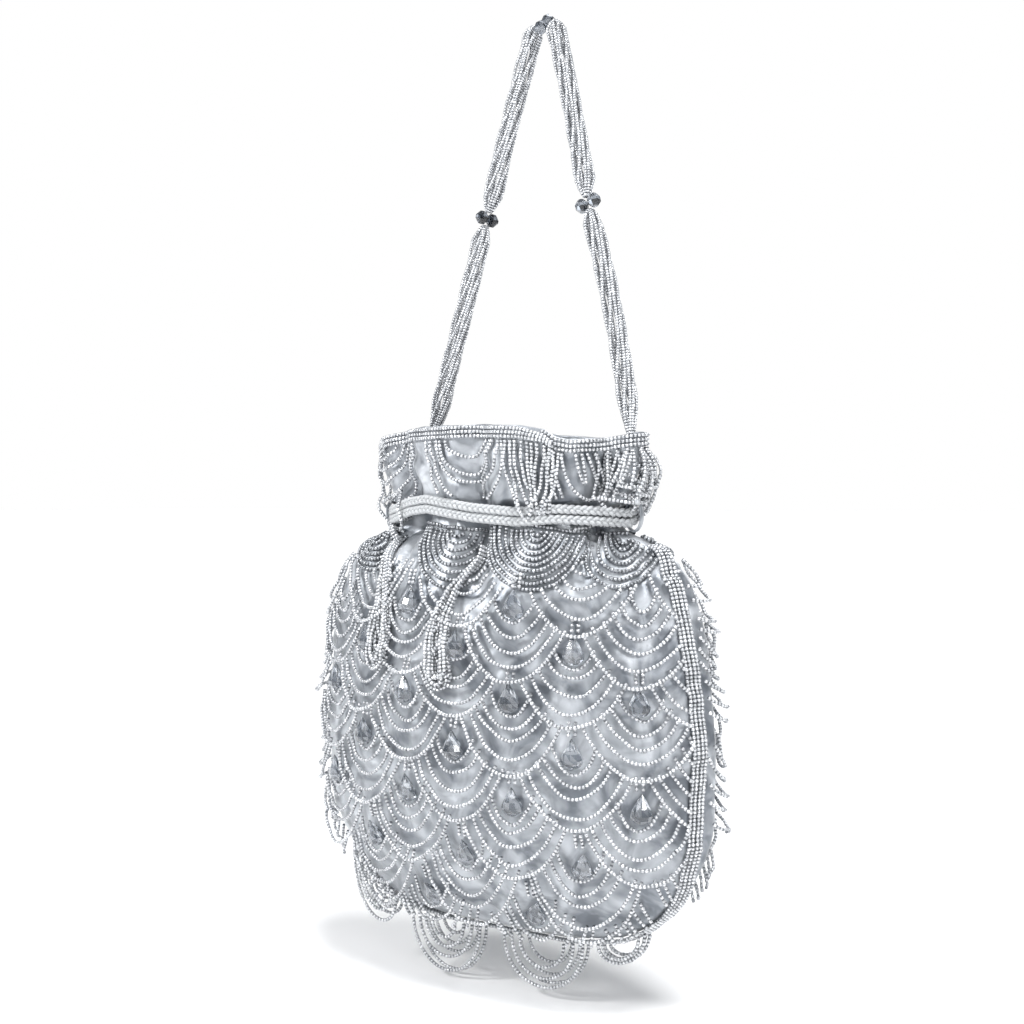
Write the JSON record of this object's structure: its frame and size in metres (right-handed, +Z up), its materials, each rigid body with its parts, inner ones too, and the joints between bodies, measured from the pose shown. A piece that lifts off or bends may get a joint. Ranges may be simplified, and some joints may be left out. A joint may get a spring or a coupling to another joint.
{
  "type": "beaded potli bag",
  "caption": "Satin drawstring pouch bag with glass drops, beaded rim and seam, loop tassels and a handle of twisted bead strands.",
  "frame": {"origin": "underside of the crystals at the top of the handle, where the bag hangs", "axes": "+Z up along the handle, -Y out of the front panel, +X to the right seam seen from the front"},
  "size_m": [0.1644, 0.0773, 0.3598],
  "materials": {
    "satin": "pale silver-grey satin",
    "seed_beads": "silver-lined glass seed beads",
    "braided_cord": "light grey braid",
    "glass_drop": "cut smoky clear glass",
    "faceted_crystal": "cut dark silver crystal"
  },
  "bodies": {
    "root": {"pouch": "satin", "beaded_rim": "seed_beads", "beaded_seam": "seed_beads", "drawstring_upper": "braided_cord", "drawstring_lower": "braided_cord", "tassel_left": "seed_beads", "tassel_front": "seed_beads", "handle_left_lower": "seed_beads", "handle_left_upper": "seed_beads", "handle_right_lower": "seed_beads", "handle_right_upper": "seed_beads", "crystal_top_lower": "faceted_crystal", "crystal_top_upper": "faceted_crystal", "crystal_left_inner": "faceted_crystal", "crystal_left_outer": "faceted_crystal", "crystal_right_inner": "faceted_crystal", "crystal_right_outer": "faceted_crystal", "drop_front_1_1": "glass_drop", "drop_front_1_2": "glass_drop", "drop_front_2_1": "glass_drop", "drop_front_2_2": "glass_drop", "drop_front_2_3": "glass_drop", "drop_front_3_1": "glass_drop", "drop_front_3_2": "glass_drop", "drop_front_3_3": "glass_drop", "drop_front_3_4": "glass_drop", "drop_front_4_1": "glass_drop", "drop_front_4_2": "glass_drop", "drop_front_4_3": "glass_drop", "drop_front_5_1": "glass_drop", "drop_front_5_2": "glass_drop", "drop_front_5_3": "glass_drop", "drop_front_5_4": "glass_drop", "drop_front_6_1": "glass_drop", "drop_front_6_2": "glass_drop", "drop_front_6_3": "glass_drop", "drop_front_7_1": "glass_drop", "drop_front_7_2": "glass_drop", "drop_back_1_1": "glass_drop", "drop_back_1_2": "glass_drop", "drop_back_2_1": "glass_drop", "drop_back_2_2": "glass_drop", "drop_back_2_3": "glass_drop", "drop_back_3_1": "glass_drop", "drop_back_3_2": "glass_drop", "drop_back_3_3": "glass_drop", "drop_back_3_4": "glass_drop", "drop_back_4_1": "glass_drop", "drop_back_4_2": "glass_drop", "drop_back_4_3": "glass_drop", "drop_back_5_1": "glass_drop", "drop_back_5_2": "glass_drop", "drop_back_5_3": "glass_drop", "drop_back_5_4": "glass_drop", "drop_back_6_1": "glass_drop", "drop_back_6_2": "glass_drop", "drop_back_6_3": "glass_drop", "drop_back_7_1": "glass_drop", "drop_back_7_2": "glass_drop"}
  },
  "joints": []
}
